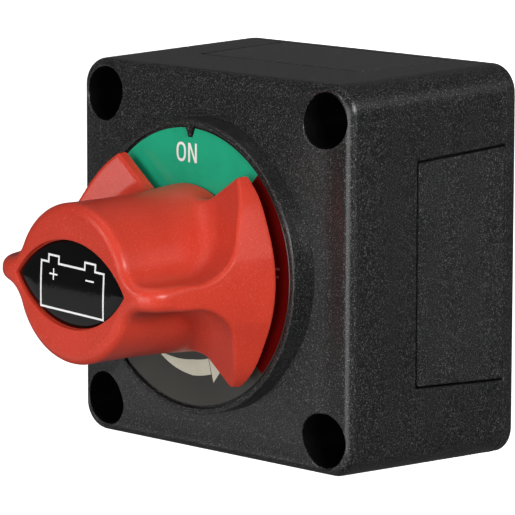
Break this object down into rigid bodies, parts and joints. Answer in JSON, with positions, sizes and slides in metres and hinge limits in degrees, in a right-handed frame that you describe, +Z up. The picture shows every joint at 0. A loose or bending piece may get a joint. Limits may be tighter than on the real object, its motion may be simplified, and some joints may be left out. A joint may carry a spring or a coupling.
{
  "type": "battery switch",
  "caption": "Square surface-mount rotary battery isolator with a red winged knob over an on and off dial, cable plates on its sides and two screw terminals behind.",
  "frame": {"origin": "centre of the rear mounting face", "axes": "+Y into the wall, out of the rear mounting face; -Y towards the hand; +Z up, towards ON; +X to the right seen from the front"},
  "size_m": [0.069, 0.0736, 0.069],
  "materials": {
    "housing_black": "fine spark-eroded grain",
    "cover_black": "fine grain",
    "plate_black": "fine grain",
    "dial_print": "printed film in green, red and dark grey",
    "knob_red": "satin moulded",
    "badge_black": "gloss",
    "rotor_plastic": "natural nylon",
    "base_plastic": "moulded phenolic",
    "seal_rubber": "matt",
    "zinc_steel": "zinc plated",
    "spring_steel": "formed strip, burnished",
    "stud_brass": "turned",
    "bridge_copper": "stamped copper",
    "tip_silver": "silver alloy"
  },
  "bodies": {
    "housing": {"housing": "housing_black", "dial_label": "dial_print", "thrust_washer": "rotor_plastic", "contact_base": "base_plastic", "base_gasket": "seal_rubber", "base_screws": "zinc_steel", "stud_right": "stud_brass", "stud_left": "stud_brass", "jam_nuts": "stud_brass", "flat_washers": "zinc_steel", "spring_washers": "spring_steel", "terminal_nuts": "zinc_steel"},
    "knob": {"knob": "knob_red", "knob_badge": "badge_black", "knob_screw": "zinc_steel", "rotor": "rotor_plastic", "shaft_seal": "seal_rubber", "contact_bridge": "bridge_copper", "bridge_tips": "tip_silver", "bridge_spring": "spring_steel"},
    "rear_cover": {"rear_cover": "cover_black"},
    "cable_plate_right": {"cable_plate_right": "plate_black"},
    "cable_plate_top": {"cable_plate_top": "plate_black"},
    "cable_plate_left": {"cable_plate_left": "plate_black"},
    "cable_plate_bottom": {"cable_plate_bottom": "plate_black"}
  },
  "joints": [
    {"name": "knob_turn", "type": "hinge", "parent": "housing", "child": "knob", "pos_m": [0, -0.0736, 0], "axis": [0, -1, 0], "range_deg": [0, 90]},
    {"name": "rear_cover_off", "type": "slide", "parent": "housing", "child": "rear_cover", "axis": [0, 1, 0], "range_m": [0, 0.025]},
    {"name": "cable_plate_right_out", "type": "slide", "parent": "housing", "child": "cable_plate_right", "axis": [1, 0, 0], "range_m": [0, 0.012]},
    {"name": "cable_plate_top_out", "type": "slide", "parent": "housing", "child": "cable_plate_top", "axis": [0, 0, 1], "range_m": [0, 0.012]},
    {"name": "cable_plate_left_out", "type": "slide", "parent": "housing", "child": "cable_plate_left", "axis": [-1, 0, 0], "range_m": [0, 0.012]},
    {"name": "cable_plate_bottom_out", "type": "slide", "parent": "housing", "child": "cable_plate_bottom", "axis": [0, 0, -1], "range_m": [0, 0.012]}
  ]
}
